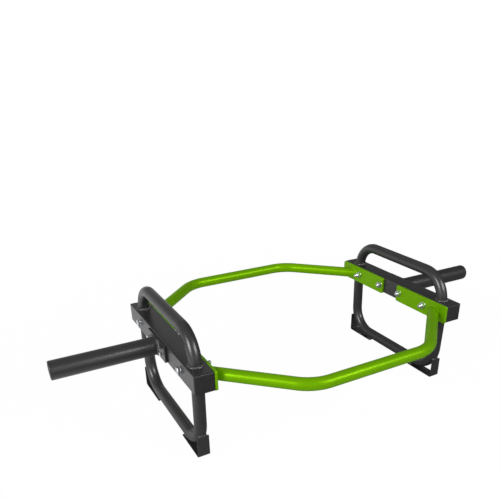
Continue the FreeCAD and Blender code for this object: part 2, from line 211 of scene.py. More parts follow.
# Sizes and places at the right end, from the frame
handle_low, handle_high = span("right_handle")
stand_low, stand_high = span("right_stand")
beam_low, beam_high = span("right_beam")
sleeve_low, sleeve_high = span("right_sleeve")
sleeve_cap_low, sleeve_cap_high = span("right_sleeve_cap")
sleeve_plate_low, sleeve_plate_high = span("right_sleeve_plate")
mount_plate_low, mount_plate_high = span("rear_right_mount_plate")
hexagon_low, hexagon_high = span("rear_hexagon_tube")
foot_low, foot_high = span("rear_right_foot")
nut_washer_low, nut_washer_high = span("right_nut_washers")

tube_radius = (handle_high[0] - handle_low[0]) / 2
beam_middle = (beam_low + beam_high) / 2
handle_axis_z = handle_high[2] - tube_radius
handle_height = handle_axis_z - beam_high[2]
handle_lean = math.asin((handle_bend_radius - handle_height) / handle_bend_radius)
handle_leg_y = handle_high[1] - tube_radius / math.cos(handle_lean)
stand_axis_z = stand_low[2] + tube_radius
stand_lean = math.atan2(stand_draw_in, beam_low[2] - stand_axis_z)
stand_top_y = stand_high[1] - tube_radius / math.cos(stand_lean)
stand_base_y = stand_top_y - stand_draw_in
stand_bend_y = stand_base_y - stand_bend_radius / math.tan(math.pi / 4 + stand_lean / 2)
sleeve_middle = (sleeve_low + sleeve_high) / 2
sleeve_radius = (sleeve_high[2] - sleeve_low[2]) / 2
mount_face_x = mount_plate_low[0]
hexagon_axis_z = (hexagon_low[2] + hexagon_high[2]) / 2
hexagon_axis_y = hexagon_high[1] - tube_radius
hexagon_corner = np.array([hexagon_straight_length / 2, hexagon_axis_y, hexagon_axis_z])
hexagon_entry = np.array([mount_face_x, hexagon_entry_spacing / 2, hexagon_axis_z])
hexagon_run = hexagon_corner - hexagon_entry
hexagon_slant = hexagon_run / np.linalg.norm(hexagon_run)
foot_inner_y = foot_high[1] - foot_thickness
washer_radius = (nut_washer_high[2] - nut_washer_low[2]) / 2
washer_thickness = nut_washer_high[0] - nut_washer_low[0]
outer_bolt_y = nut_washer_high[1] - washer_radius
inner_bolt_y = mount_plate_low[1] + mount_plate_inner_margin + washer_radius
bolt_places_y = (-outer_bolt_y, -inner_bolt_y, inner_bolt_y, outer_bolt_y)
bolt_grip = sleeve_plate_high[0] - mount_face_x + 2 * washer_thickness
bolt_length = bolt_grip + nut_hex_height + nut_collar_height + bolt_tip


class Value:
    """A socket that takes part in sums: each operator adds one Math node to its tree."""

    def __init__(self, tree, socket):
        self.tree = tree
        self.socket = socket

    def sum_node(self, operation, first, second):
        return self.tree.node("ShaderNodeMath", {"operation": operation}, {0: first, 1: second})

    def __add__(self, other):
        return self.sum_node("ADD", self, other)

    def __radd__(self, other):
        return self.sum_node("ADD", other, self)

    def __sub__(self, other):
        return self.sum_node("SUBTRACT", self, other)

    def __rsub__(self, other):
        return self.sum_node("SUBTRACT", other, self)

    def __mul__(self, other):
        return self.sum_node("MULTIPLY", self, other)

    def __rmul__(self, other):
        return self.sum_node("MULTIPLY", other, self)

    def at_least(self, other):
        return self.sum_node("MAXIMUM", self, other)


# Numbers of the Mix node's sockets for colours
MIX_SHARE, MIX_FIRST, MIX_SECOND, MIX_RESULT = 0, 6, 7, 2


class Tree:
    """A node tree being built: one method adds any node, settings first and sockets after."""

    def __init__(self, node_tree):
        self.nodes = node_tree.nodes
        self.links = node_tree.links

    def feed(self, node, inputs):
        """Sets a node's sockets by name or number, to a number, a colour or a link."""
        for key, value in inputs.items():
            if isinstance(value, Value):
                self.links.new(value.socket, node.inputs[key])
            else:
                node.inputs[key].default_value = value

    def node(self, kind, settings=None, inputs=None, output=0):
        """Adds a node and gives one of its outputs, by name or number."""
        node = self.nodes.new(kind)
        for key, value in (settings or {}).items():
            setattr(node, key, value)
        self.feed(node, inputs or {})
        return Value(self, node.outputs[output])

    def noise(self, place, scale, detail):
        """Cloudy values about a half, with this many clouds in a metre."""
        inputs = {"Vector": place, "Scale": scale, "Detail": detail}
        return self.node("ShaderNodeTexNoise", {}, inputs)

    def step(self, value, low, high):
        """Smooth step from nought at the low value to one at the high value."""
        ends = {"Value": value, "From Min": low, "From Max": high}
        return self.node("ShaderNodeMapRange", {"interpolation_type": "SMOOTHSTEP"}, ends)

    def mixed(self, share, first, second):
        """Colour between the first, at share nought, and the second, at share one."""
        inputs = {MIX_SHARE: share, MIX_FIRST: first, MIX_SECOND: second}
        return self.node("ShaderNodeMix", {"data_type": "RGBA"}, inputs, MIX_RESULT)

    def bump(self, height, distance, strength):
        """Normal of a surface that stands out by the distance where the height is one."""
        inputs = {"Height": height, "Distance": distance, "Strength": strength}
        return self.node("ShaderNodeBump", {}, inputs)


# Finishes: a pattern is its clouds in a metre and their detail; the gloss values say how far
# a pattern or a rim moves the roughness, and a bump is its distance and its strength
WHITE = (1.0, 1.0, 1.0, 1.0)
noise_middle = 0.5

coat_peel = (520.0, 2.0)
coat_grit = (2400.0, 1.0)
coat_drift = (7.0, 3.0)
coat_rub = (90.0, 4.0)
coat_drift_span = (0.3, 0.7)
coat_rub_span = (0.46, 0.66)
coat_rim_thinness = 0.12
coat_rub_thinness = 0.3
coat_drift_gloss = 0.1
coat_grit_gloss = 0.06
coat_rim_gloss = 0.05
coat_grit_height = 0.3
coat_bump = (0.00012, 0.22)

plastic_grain = (1500.0, 3.0)
plastic_cloud = (45.0, 3.0)
plastic_cloud_share = 0.5
plastic_rim_share = 0.2
plastic_roughness = 0.48
plastic_grain_gloss = 0.16
plastic_rim_gloss = 0.1
plastic_bump = (0.0001, 0.5)
plastic_specular = 0.35

zinc_patch = (160.0, 3.0)
zinc_grain = (1900.0, 3.0)
zinc_colour = (0.80, 0.82, 0.85, 1.0)
straw_colour = (0.78, 0.76, 0.68, 1.0)
straw_span = (0.5, 0.75)
straw_share = 0.5
zinc_roughness = 0.3
zinc_patch_gloss = 0.2
zinc_grain_gloss = 0.12
zinc_rim_gloss = 0.08
zinc_bump = (0.00004, 0.5)


def new_material(name):
    """Empty material, with its tree and its surface shader."""
    material = bpy.data.materials.new(name)
    material.use_nodes = True
    return material, Tree(material.node_tree), material.node_tree.nodes["Principled BSDF"]


def place_and_rim(tree):
    """Place on a piece, and how much of a rim it is there."""
    place = tree.node("ShaderNodeTexCoord", output="Object")
    rim = tree.node("ShaderNodeAttribute", {"attribute_name": "rim"}, output="Fac")
    return place, rim


def powder_coat(name, colour, deep_colour, thin_colour, roughness, specular, metallic, gloss_tint):
    """Baked powder: orange peel about 2 mm across, slow drift of the film, and thin, paler rims."""
    material, tree, shader = new_material(name)
    place, rim = place_and_rim(tree)
    peel = tree.noise(place, *coat_peel)
    grit = tree.noise(place, *coat_grit)
    drift = tree.noise(place, *coat_drift)
    rubbed = tree.step(tree.noise(place, *coat_rub), *coat_rub_span)
    film = tree.mixed(tree.step(drift, *coat_drift_span), colour, deep_colour)
    # Thin film pales the coat at rims; on weld ripple crests that paleness is partly a painted
    # highlight
    thin = rim * (coat_rim_thinness + rubbed * coat_rub_thinness)
    tree.feed(shader, {
        "Base Color": tree.mixed(thin, film, thin_colour),
        "Roughness": roughness + (drift - noise_middle) * coat_drift_gloss
        + (grit - noise_middle) * coat_grit_gloss - rim * coat_rim_gloss,
        "Normal": tree.bump(peel + grit * coat_grit_height, *coat_bump),
        "Specular IOR Level": specular,
        "Specular Tint": gloss_tint,
        "Metallic": metallic,
    })
    return material


def moulded_plastic(name, colour, pale_colour):
    """Black moulded plastic: fine spark-worn grain from the mould and slightly polished rims."""
    material, tree, shader = new_material(name)
    place, rim = place_and_rim(tree)
    grain = tree.noise(place, *plastic_grain)
    cloud = tree.noise(place, *plastic_cloud)
    pale = cloud * plastic_cloud_share + rim * plastic_rim_share
    tree.feed(shader, {
        "Base Color": tree.mixed(pale, colour, pale_colour),
        "Roughness": plastic_roughness + (grain - noise_middle) * plastic_grain_gloss
        - rim * plastic_rim_gloss,
        "Normal": tree.bump(grain, *plastic_bump),
        "Specular IOR Level": plastic_specular,
    })
    return material


def zinc_plate(name):
    """Bright zinc plating: blue-white metal with faint straw patches, fine grain, polished rims."""
    material, tree, shader = new_material(name)
    place, rim = place_and_rim(tree)
    patch = tree.noise(place, *zinc_patch)
    grain = tree.noise(place, *zinc_grain)
    straw = tree.step(patch, *straw_span) * straw_share
    tree.feed(shader, {
        "Base Color": tree.mixed(straw, zinc_colour, straw_colour),
        "Metallic": 1.0,
        "Roughness": zinc_roughness + (patch - noise_middle) * zinc_patch_gloss
        + (grain - noise_middle) * zinc_grain_gloss - rim * zinc_rim_gloss,
        "Normal": tree.bump(grain, *zinc_bump),
    })
    return material


# The finish of each slot
finishes = {
    "frame_coat": powder_coat(
        "black_powder_coat",
        colour=(0.021, 0.021, 0.0215, 1.0),
        deep_colour=(0.017, 0.017, 0.0175, 1.0),
        thin_colour=(0.075, 0.075, 0.078, 1.0),
        roughness=0.33,
        specular=0.8,
        metallic=0.0,
        gloss_tint=WHITE,
    ),
    "hexagon_coat": powder_coat(
        "lime_powder_coat",
        colour=(0.146, 0.371, 0.001, 1.0),
        deep_colour=(0.130, 0.340, 0.001, 1.0),
        thin_colour=(0.29, 0.54, 0.02, 1.0),
        roughness=0.35,
        specular=0.28,
        metallic=0.24,
        gloss_tint=(1.0, 0.95, 0.08, 1.0),
    ),
    "cap_plastic": moulded_plastic(
        "black_moulded_plastic",
        colour=(0.016, 0.016, 0.0165, 1.0),
        pale_colour=(0.024, 0.024, 0.025, 1.0),
    ),
    "zinc_hardware": zinc_plate("bright_zinc_plate"),
}


def shell(grid, rim=0.0, ring=False):
    """A closed surface: each row is a closed loop, and the rows of a ring meet again."""
    return Shell(grid, np.broadcast_to(rim, grid.shape[:2]), ring)


def shell_faces(rows, columns, ring):
    """Corner numbers of the quads between rows, and of the fans that close an open run of rows."""
    steps = rows if ring else rows - 1
    row, column = np.meshgrid(np.arange(steps), np.arange(columns), indexing="ij")
    here = row * columns
    ahead = (row + 1) % rows * columns
    beside = (column + 1) % columns
    quads = np.stack([here + column, here + beside, ahead + beside, ahead + column], -1)
    quads = quads.reshape(-1, 4)
    if ring:
        return quads, np.empty((0, 3), int)
    column = np.arange(columns)
    beside = (column + 1) % columns
    last = (rows - 1) * columns
    pole = np.full(columns, rows * columns)
    first_fan = np.stack([beside, column, pole], -1)
    last_fan = np.stack([last + column, last + beside, pole + 1], -1)
    return quads, np.vstack([first_fan, last_fan])


def enclosed_volume(points, triangles):
    """Volume in a closed surface: a sixth of the triple products, below nought if inside out."""
    first, second, third = (points[triangles[:, number]] for number in range(3))
    return np.einsum("ij,ij->", first, np.cross(second, third)) / 6


def shell_parts(one, signs):
    """Points, quads, fans and rim values of one shell at its place, its faces looking outwards."""
    points = one.grid.reshape(-1, 3)
    rim = one.rim.reshape(-1)
    if not one.ring:
        points = np.vstack([points, one.grid[0].mean(0), one.grid[-1].mean(0)])
        rim = np.append(rim, [0.0, 0.0])
    points = points * signs
    quads, fans = shell_faces(*one.grid.shape[:2], one.ring)
    if enclosed_volume(points, np.vstack([quads[:, :3], quads[:, [0, 2, 3]], fans])) < 0:
        quads = quads[:, ::-1]
        fans = fans[:, ::-1]
    return points, quads, fans, rim


def make_piece(node, shells, signs, slot):
    """One finished piece from its shells, which rides on the frame and stands for its node."""
    parts = [shell_parts(one, signs) for one in shells]
    starts = np.cumsum([0] + [len(points) for points, quads, fans, rim in parts])
    faces = []
    for (points, quads, fans, rim), start in zip(parts, starts):
        faces += (quads + start).tolist() + (fans + start).tolist()
    mesh = bpy.data.meshes.new(node + "_finish")
    mesh.from_pydata(np.vstack([part[0] for part in parts]).tolist(), [], faces)
    rims = np.concatenate([part[3] for part in parts]).astype(np.float32)
    mesh.attributes.new("rim", "FLOAT", "POINT").data.foreach_set("value", rims)
    mesh.shade_smooth()
    mesh.set_sharp_from_angle(angle=math.radians(sharp_angle_deg))
    mesh.materials.append(finishes[slot])
    piece = bpy.data.objects.new(node + "_finish", mesh)
    bpy.context.scene.collection.objects.link(piece)
    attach(piece, "root")
    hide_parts(node)


def at_both_ends(name, shells, slot):
    """The right-end piece, and its copy turned half round to the left end."""
    for side, signs in SIDES.items():
        make_piece(side + "_" + name, shells, signs, slot)


def at_four_corners(name, shells, slot):
    """The rear right piece, and its copies turned or mirrored to the other corners."""
    for corner, signs in CORNERS.items():
        make_piece(corner + "_" + name, shells, signs, slot)


def loop_angles(count):
    """Angles once round, evenly spaced from nought."""
    return np.arange(count) * (2 * math.pi / count)


def bent_line(corners, bend_radius):
    """Points, directions and bend shares along straight runs joined by tangent arcs.

    On an arc that starts at a, in direction t, with n towards its centre and radius R:
    point(s) = a + R * (sin(s) * t + (1 - cos(s)) * n), for s from nought to the turn.
    """
    corners = np.asarray(corners, float)
    runs = np.diff(corners, axis=0)
    ways = runs / np.linalg.norm(runs, axis=1)[:, None]
    points = [corners[:1]]
    directions = [ways[:1]]
    shares = [np.zeros(1)]
    for corner, way, next_way in zip(corners[1:-1], ways[:-1], ways[1:]):
        turn = math.acos(np.dot(way, next_way))
        inward = (next_way - math.cos(turn) * way) / math.sin(turn)
        angle = np.linspace(0, turn, bend_steps + 1)[:, None]
        start = corner - way * bend_radius * math.tan(turn / 2)
        points.append(start + bend_radius * (np.sin(angle) * way + (1 - np.cos(angle)) * inward))
        directions.append(np.cos(angle) * way + np.sin(angle) * inward)
        shares.append(np.sin(math.pi * angle[:, 0] / turn))
    points.append(corners[-1:])
    directions.append(ways[-1:])
    shares.append(np.zeros(1))
    return np.vstack(points), np.vstack(directions), np.concatenate(shares)


def cut_level(row, direction, axis, place):
    """Slides each point of a tube's end along the tube, onto the plane at a place on one axis."""
    return row + direction * ((place - row[:, axis:axis + 1]) / direction[axis])


def bent_tube(corners, bend_radius, plane, cut_axis, cut_places):
    """Round tube along a bent line in a plane, a little flattened in its bends, its ends cut level.

    point(row, v) = line + radius * (cos(v) * (1 - f) * side + sin(v) * (1 + f / 2) * n), for v once
    round, where n stands square to the plane and the flattening f follows the bend share.
    """
    points, directions, shares = bent_line(corners, bend_radius)
    angle = loop_angles(tube_columns)[None, :, None]
    flat = bend_flattening * shares[:, None, None]
    side = np.cross(plane, directions)[:, None]
    ring = np.cos(angle) * (1 - flat) * side + np.sin(angle) * (1 + flat / 2) * plane
    grid = points[:, None] + tube_radius * ring
    grid[0] = cut_level(grid[0], directions[0], cut_axis, cut_places[0])
    grid[-1] = cut_level(grid[-1], directions[-1], cut_axis, cut_places[1])
    return shell(grid)


def rounded_outline(half_a, half_b, corner):
    """Rounded rectangles, one for each row of half sizes, and which columns lie on their corners.

    point(column) = corner centre + corner * (cos, sin) + slide * (-sin, cos); the slide is nought
    on the arcs, and sets a support on the flat at each end of an arc, so that flats stay flat.
    """
    half_a, half_b, corner = (np.atleast_1d(size)[:, None] for size in (half_a, half_b, corner))
    quarter = np.linspace(0, math.pi / 2, arc_steps + 1)
    quarter = np.concatenate([quarter[:1], quarter, quarter[-1:]])
    room = support_share * min((half_a - corner).min(), (half_b - corner).min())
    reach = min(support, room)
    slide = np.concatenate([[-reach], np.zeros(arc_steps + 1), [reach]])
    angle = np.concatenate([quarter + number * math.pi / 2 for number in range(4)])
    slide = np.tile(slide, 4)
    sign_a = np.repeat([1, -1, -1, 1], len(quarter))
    sign_b = np.repeat([1, 1, -1, -1], len(quarter))
    a = sign_a * (half_a - corner) + corner * np.cos(angle) - slide * np.sin(angle)
    b = sign_b * (half_b - corner) + corner * np.sin(angle) + slide * np.cos(angle)
    return a, b, slide == 0


def stacked(half_a, half_b, corner, layers, centre, facing):
    """Shell from rounded rectangles, each drawn in by its inset and set at its height.

    A layer is (inset, height, rim); heights run along X where facing is 0, along Y where it is 1.
    """
    inset, height, rim = np.array(layers, float).T
    corners = np.maximum(corner - inset, least_corner_share * corner)
    a, b = rounded_outline(half_a - inset, half_b - inset, corners)[:2]
    along = np.broadcast_to(height[:, None], a.shape)
    grid = np.stack([along, a, b] if facing == 0 else [a, along, b], -1) + centre
    return shell(grid, rim[:, None])


def eased_rim(height, ease, rising):
    """Layers of a quarter-round rim: towards the face where rising, else away from it."""
    angle = np.linspace(0, math.pi / 2, arc_steps + 1)
    drawn_in = ease * (1 - np.cos(angle))
    climb = ease * np.sin(angle)
    rims = np.sin(2 * angle)
    if rising:
        return list(zip(drawn_in, height - ease + climb, rims))
    return list(zip(drawn_in, height + ease - climb, rims))[::-1]


def plate(low, high, corner):
    """Flat plate square to X, with rounded corners and eased rims on both faces."""
    centre = (low + high) / 2
    half = (high - low) / 2
    ease = plate_edge_round
    inner = ease + 2 * support
    layers = [(inner, -half[0], 0.0)]
    layers += eased_rim(-half[0], ease, rising=False)
    layers += eased_rim(half[0], ease, rising=True)
    layers += [(inner, half[0], 0.0)]
    return stacked(half[1], half[2], corner, layers, centre, facing=0)


def cross_beam():
    """Square tube along Y with rounded edges, and broken rims at its ends."""
    half = (beam_high - beam_low) / 2
    layers = eased_rim(-half[1], beam_end_ease, rising=False)
    layers += [(0.0, support - half[1], 0.0), (0.0, half[1] - support, 0.0)]
    layers += eased_rim(half[1], beam_end_ease, rising=True)
    return stacked(half[0], half[2], beam_corner_radius, layers, beam_middle, facing=1)


def beam_cap():
    """Square cap: a dark seam at the beam's end, an upright edge, a soft rim and a crowned face.

    The crown falls with the fourth power of the share of the way from the middle to the edge.
    """
    half = (beam_high - beam_low) / 2
    rim_level = cap_flange - cap_crown
    layers = [(cap_seam, -sink, 0.0), (cap_seam, cap_seam, 0.0), (0.0, 2 * cap_seam, seam_rim)]
    layers += eased_rim(rim_level, cap_edge_round, rising=True)
    inset = np.linspace(cap_edge_round, cap_face_reach * half[0], cap_face_rows)[1:]
    drop = (inset / half[0] - 1) ** 4
    layers += [(inward, cap_flange - cap_crown * fall, 0.0) for inward, fall in zip(inset, drop)]
    seat = np.array([beam_middle[0], beam_high[1], beam_middle[2]])
    return stacked(half[0], half[2], beam_corner_radius, layers, seat, facing=1)


def rows_of(values, columns):
    """Rows of a grid from numbers, or from arrays with a value for each column."""
    return np.stack([np.broadcast_to(value, columns) for value in values])


def spun(profile, centre, facing=1, columns=round_columns, turn_deg=0.0, ring=False):
    """Turned surface about a line along X.

    Each (along, radius, rim) of the profile is one row, and
    point(row, angle) = centre + (facing * along, radius * cos(angle), radius * sin(angle)).
    """
    along, radius, rim = (rows_of(values, columns) for values in zip(*profile))
    angle = loop_angles(columns) + math.radians(turn_deg)
    grid = np.stack([facing * along, radius * np.cos(angle), radius * np.sin(angle)], -1) + centre
    return shell(grid, rim, ring)


def rounded_edge(along, radius, ease):
    """Profile rows of a quarter-round edge that turns from a wall to the face at its end."""
    angle = np.linspace(0, math.pi / 2, arc_steps + 1)
    climb = along - ease * (1 - np.sin(angle))
    width = radius - ease * (1 - np.cos(angle))
    return [(place, reach, 1.0) for place, reach in zip(climb, width)]


def plate_sleeve():
    """Round tube that takes the plates, with a broken edge at its end."""
    length = sleeve_high[0] - sleeve_low[0]
    wall_end = length - sleeve_end_ease - support
    profile = [(-sink, sleeve_radius, 0.0), (wall_end, sleeve_radius, 0.0)]
    profile += rounded_edge(length, sleeve_radius, sleeve_end_ease)
    return spun(profile, np.array([sleeve_low[0], 0.0, sleeve_middle[2]]))


def sleeve_cap():
    """Round cap: a dark seam, a soft rim, and a face with a shallow groove and a crowned middle.

    At a share s of the radius the face lies below its middle by crown * s^2 and, in the groove,
    by depth * exp(-((s - place) / width)^2) more.
    """
    flange = sleeve_cap_high[0] - sleeve_high[0]
    radius = (sleeve_cap_high[2] - sleeve_cap_low[2]) / 2
    seam_radius = radius - cap_seam
    rim_level = flange - sleeve_cap_crown
    profile = [(-sink, seam_radius, 0.0), (cap_seam, seam_radius, 0.0)]
    profile += [(2 * cap_seam, radius, seam_rim)]
    profile += rounded_edge(rim_level, radius, sleeve_cap_round)
    share = np.linspace(*sleeve_cap_face, sleeve_cap_face_rows)
    groove = np.exp(-((share - sleeve_cap_groove_place) / sleeve_cap_groove_width) ** 2)
    level = flange - sleeve_cap_crown * share**2 - sleeve_cap_groove * groove
    profile += [(place, radius * reach, 0.0) for place, reach in zip(level, share)]
    return spun(profile, np.array([sleeve_high[0], 0.0, sleeve_middle[2]]))


def hexagon_reach(flats):
    """Radius of a hexagon for each column: half the flats over the cosine of the angle off one."""
    off_flat = loop_angles(hex_columns) % (math.pi / 3) - math.pi / 6
    return flats / 2 / np.cos(off_flat)


def chamfer_drop(reach, flats):
    """How far below the end face a thirty degree chamfer cone leaves the hexagon's side."""
    return (reach - hex_chamfer_share * flats / 2) / math.sqrt(3)


def head_seat_x(y):
    """Outer face under the head's washer: the sleeve plate near the sleeve, else the beam."""
    return sleeve_plate_high[0] if abs(y) < sleeve_plate_high[1] else beam_high[0]


def bolt(y, turn_deg):
    """Hexagon-head bolt: chamfered head, plain shank, and a thread up to its chamfered tip.

    thread radius = bolt radius - depth * |1 - 2 * fraction(along / pitch - angle / one turn)|
    """
    length = bolt_head_height + bolt_length
    reach = hexagon_reach(bolt_head_flats)
    profile = [
        (0.0, hex_chamfer_share * bolt_head_flats / 2, hex_face_rim),
        (chamfer_drop(reach, bolt_head_flats), reach, 1.0),
        (bolt_head_height, reach, under_head_rim),
        (bolt_head_height, bolt_radius, 0.0),
        (length - thread_length, bolt_radius, 0.0),
    ]
    share_round = loop_angles(hex_columns) / (2 * math.pi)
    for along in np.arange(length - thread_length, length, thread_pitch / thread_rows):
        wave = np.abs(1 - 2 * ((along / thread_pitch - share_round) % 1))
        tip_limit = bolt_radius - bolt_tip_chamfer + max(length - along, 0.0)
        radius = np.minimum(bolt_radius - thread_depth * wave, tip_limit)
        profile.append((along, radius, thread_crest_rim * (1 - wave)))
    profile.append((length, bolt_radius - bolt_tip_chamfer, 0.0))
    head_x = head_seat_x(y) + washer_thickness + bolt_head_height
    centre = np.array([head_x, y, beam_middle[2]])
    return spun(profile, centre, facing=-1, columns=hex_columns, turn_deg=turn_deg)


def washer(seat_x, y, facing):
    """Flat washer, with the edges of its free side rounded."""
    bore = bolt_radius + washer_bore_clearance
    ease = washer_edge_round
    profile = [(0.0, bore, 0.0), (0.0, washer_radius, 0.0)]
    profile += rounded_edge(washer_thickness, washer_radius, ease)
    profile += [
        (washer_thickness, washer_radius - ease - support, 0.0),
        (washer_thickness, bore + ease, washer_bore_rim),
        (washer_thickness - ease, bore, washer_bore_rim),
    ]
    return spun(profile, np.array([seat_x, y, beam_middle[2]]), facing, ring=True)


def lock_nut(y, turn_deg):
    """Lock nut: a hexagon chamfered at both ends, and a rolled collar round the locking ring."""
    bore = bolt_radius + thread_clearance
    reach = hexagon_reach(nut_flats)
    drop = chamfer_drop(reach, nut_flats)
    face = hex_chamfer_share * nut_flats / 2
    collar = bore + nut_collar_wall
    height = nut_hex_height + nut_collar_height
    profile = [
        (0.0, face, hex_face_rim),
        (drop, reach, 1.0),
        (nut_hex_height - drop, reach, 1.0),
        (nut_hex_height, face, hex_face_rim),
        (nut_hex_height, collar + support, 0.0),
        (nut_hex_height, collar, 0.0),
    ]
    profile += rounded_edge(height, collar, nut_collar_round)
    profile += [
        (height, bore + nut_lip_share * nut_collar_wall, nut_lip_rim),
        (height - nut_lip_depth, bore, 0.0),
        (0.0, bore, 0.0),
    ]
    centre = np.array([mount_face_x - washer_thickness, y, beam_middle[2]])
    return spun(profile, centre, facing=-1, columns=hex_columns, turn_deg=turn_deg, ring=True)


def bead(root, out, up, leg, rise, ring, start):
    """Weld bead in the corner between a flat piece and a bar, laid as overlapping ripples.

    point(row, v) = root + swell * (leg * cos(v)^p * out + rise * sin(v)^p * up), for v from nought
    to a quarter turn and the fullness p.  The swell wanders in a slow and a quick wave along the
    bead, and dips along curved lines where two ripples meet.  Three hidden points behind the face
    close each row inside the bar and the flat piece.  The crests carry a rim value that makes the
    coat paler and glossier there: partly thinner powder, partly a painted highlight.
    """
    ahead = root[:1] if ring else root[-1:]
    travel = np.linalg.norm(np.diff(root, axis=0, append=ahead), axis=1)
    count = round(travel.sum() / ripple_pitch)
    share = np.concatenate([[0.0], np.cumsum(travel)[:-1]]) / travel.sum()
    slow = np.sin(2 * math.pi * bead_slow_waves * share + start)
    quick = np.sin(2 * math.pi * bead_quick_waves * share + 2 * start)
    uneven = (1 + bead_unevenness * (slow + bead_quick_share * quick))[:, None]
    across = np.linspace(0, math.pi / 2, bead_steps + 1)
    phase = count * share[:, None] + ripple_curl * np.sin(2 * across)
    dip = (1 - np.abs(np.sin(math.pi * phase))) ** 2 * np.sin(2 * across)
    swell = uneven * (1 - ripple_depth * dip)
    leg, rise = (np.broadcast_to(size, len(root))[:, None] for size in (leg, rise))
    outward = (swell * leg * np.cos(across) ** bead_fullness)[..., None] * out[:, None]
    upward = (swell * rise * np.sin(across) ** bead_fullness)[..., None] * up[:, None]
    face = root[:, None] + outward + upward
    in_bar = face[:, -1:] - sink * out[:, None]
    in_corner = root[:, None] - sink * (out + up)[:, None]
    in_flat = face[:, :1] - sink * up[:, None]
    grid = np.concatenate([face, in_bar, in_corner, in_flat], axis=1)
    # Crests get a paler, glossier coat: partly thinner powder on them, partly a painted highlight
    rim = np.concatenate([bead_crest_thin_coat_and_highlight * (1 - dip), np.zeros((len(root), 3))], axis=1)
    return shell(grid, rim, ring)


def ring_rows(radius):
    """How many rows a bead round a bar of this radius has, so that each ripple is well drawn."""
    return round(2 * math.pi * radius / ripple_pitch) * ripple_samples


def leg_bead(y, z, up):
    """Bead round a leg of bent tube that stands on the beam's top or hangs from its underside."""
    angle = loop_angles(ring_rows(tube_radius))
    out = np.stack([np.cos(angle), np.sin(angle), np.zeros_like(angle)], -1)
    root = np.array([beam_middle[0], y, z]) + tube_radius * out
    up = np.broadcast_to(up, root.shape)
    return bead(root, out, up, weld_leg, weld_leg, True, leg_bead_start_per_metre * y)


def sleeve_bead():
    """Bead round the sleeve's root, as wide as the sleeve plate leaves room for."""
    angle = loop_angles(ring_rows(sleeve_radius))
    out = np.stack([np.zeros_like(angle), np.cos(angle), np.sin(angle)], -1)
    root = np.array([sleeve_low[0], 0.0, sleeve_middle[2]]) + sleeve_radius * out
    above = sleeve_plate_high[2] - sleeve_middle[2] - plate_edge_round
    below = sleeve_middle[2] - sleeve_plate_low[2] - plate_edge_round
    slope = np.maximum(np.abs(np.sin(angle)), least_slope)
    room = np.where(np.sin(angle) > 0, above, below) / slope - sleeve_radius
    leg = np.clip(room, sleeve_weld_least, sleeve_weld_leg)
    up = np.broadcast_to(RIGHT, root.shape)
    return bead(root, out, up, leg, sleeve_weld_leg, True, sleeve_bead_start)


def hexagon_bead():
    """Bead round the oval where the slanted tube meets the rear mount plate."""
    half_y = tube_radius / abs(hexagon_slant[0])
    angle = loop_angles(ring_rows((half_y + tube_radius) / 2))
    level = np.zeros_like(angle)
    oval = np.stack([level, half_y * np.cos(angle), tube_radius * np.sin(angle)], -1)
    out = np.stack([level, np.cos(angle) / half_y, np.sin(angle) / tube_radius], -1)
    out = out / np.linalg.norm(out, axis=1)[:, None]
    up = np.broadcast_to(hexagon_slant, oval.shape)
    return bead(hexagon_entry + oval, out, up, weld_leg, weld_leg, True, hexagon_bead_start)


def foot_beads():
    """Beads of one foot: one over the upright's top edge, and one on each side of the sole's seat.

    Their ends taper as the square root of 1 - t^4, with t from -1 to 1 along the bead.
    """
    rows = foot_weld_ripples * ripple_samples
    along = np.linspace(-1, 1, rows)
    taper = np.maximum(1 - along**4, foot_weld_least_taper) ** 0.5
    half = foot_weld_width_share * tube_radius
    recede = tube_radius - np.sqrt(tube_radius**2 - (half * along) ** 2)
    level = np.full(rows, foot_high[2])
    root = np.stack([beam_middle[0] + half * along, foot_inner_y - recede, level], -1)
    out = np.broadcast_to(REAR, root.shape)
    up = np.broadcast_to(foot_weld_climb, root.shape)
    leg = (foot_thickness - foot_edge_round / 2 + recede) * taper
    beads = [bead(root, out, up, leg, foot_weld_rise * taper, False, foot_bead_start)]
    seat_middle = stand_bend_y - foot_seat_length / 2
    seat_y = seat_middle + seat_weld_reach * foot_seat_length * along
    gap = foot_weld_rise
    touch = math.sqrt(tube_radius**2 - (tube_radius - gap) ** 2)
    for way in (-1, 1):
        near = beam_middle[0] + way * (touch - gap / 2)
        root = np.stack([np.full(rows, near), seat_y, np.full(rows, foot_thickness)], -1)
        out = np.broadcast_to(way * RIGHT, root.shape)
        up = np.broadcast_to(UP + seat_weld_splay * way * RIGHT, root.shape)
        beads.append(bead(root, out, up, gap * taper, gap * taper, False, way))
    return beads


